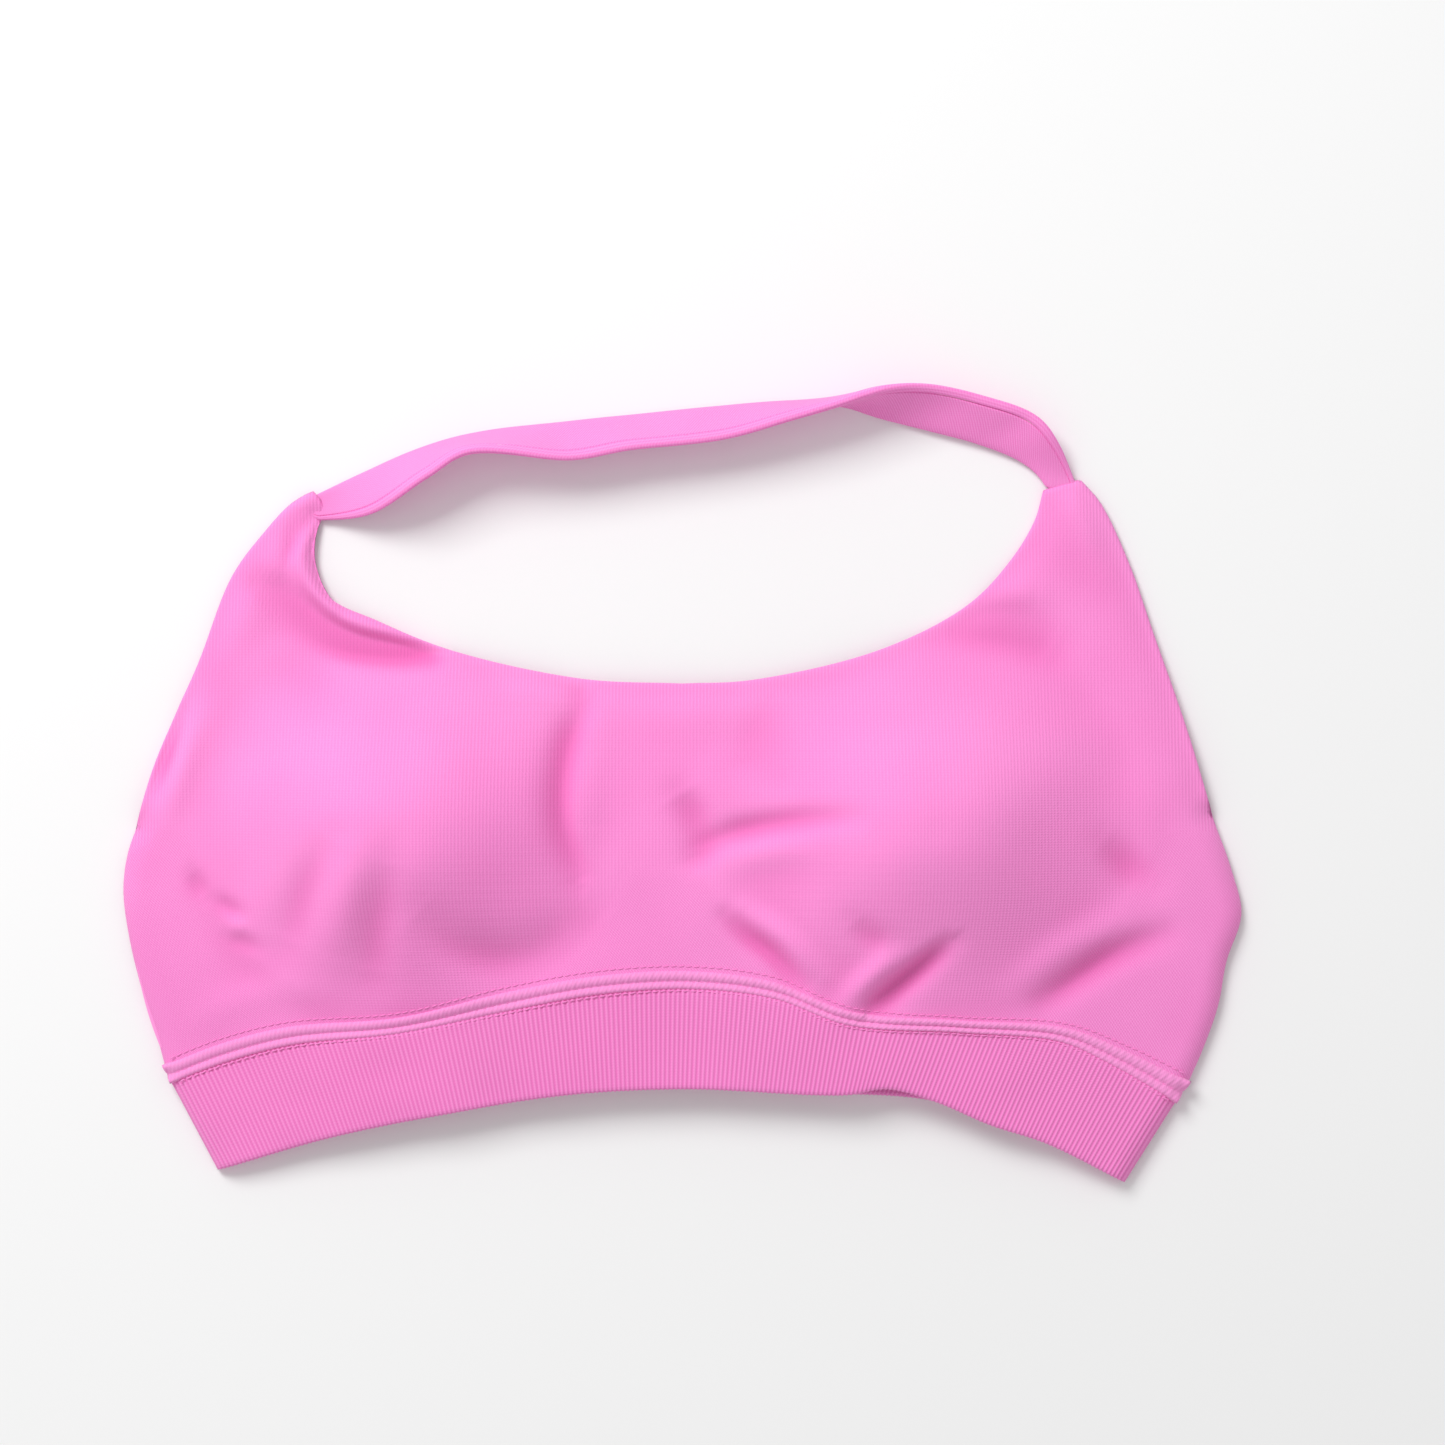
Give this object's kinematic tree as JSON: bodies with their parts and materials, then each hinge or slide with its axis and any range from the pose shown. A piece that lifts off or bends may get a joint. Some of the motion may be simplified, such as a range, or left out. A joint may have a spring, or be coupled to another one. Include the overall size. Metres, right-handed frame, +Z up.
{
  "type": "halter sports bra",
  "caption": "Seamless halter sports bra lying flat, front up: padded knit cups, a wide ribbed underband and a narrow ribbon strap round the neck.",
  "frame": {"origin": "on the table, under the centre of the garment's box", "axes": "+X to the right with the front up, +Y towards the neck strap, +Z up from the table"},
  "size_m": [0.3732, 0.2659, 0.0356],
  "materials": {
    "knit": "soft matt jersey and twill knit",
    "rib_knit": "ribbed knit",
    "lining": "smooth fine knit",
    "pad_foam": "moulded foam faced with knit",
    "elastic": "woven elastic tape",
    "thread": "stitched seam",
    "label": "blank satin ribbon"
  },
  "bodies": {
    "garment": {"front_outer_panel": "knit", "front_lining_panel": "lining", "left_pad": "pad_foam", "right_pad": "pad_foam", "left_armhole_elastic": "elastic", "right_armhole_elastic": "elastic", "neckline_elastic": "elastic", "front_band_seam": "thread", "front_band_rib": "rib_knit", "front_band_elastic": "elastic", "front_band_facing": "rib_knit", "back_panel": "knit", "back_top_elastic": "elastic", "back_band_seam": "thread", "back_band_rib": "rib_knit", "back_band_elastic": "elastic", "back_band_facing": "rib_knit", "left_side_seam": "thread", "right_side_seam": "thread", "care_label": "label"},
    "neck_strap": {"neck_strap_cover": "knit", "neck_strap_elastic": "elastic"}
  },
  "joints": [
    {"name": "neck_strap_fold", "type": "hinge", "parent": "garment", "child": "neck_strap", "pos_m": [-0.121, 0.0916, 0.0018], "axis": [0.9995, 0.0311, 0], "range_deg": [-60, 95]}
  ]
}
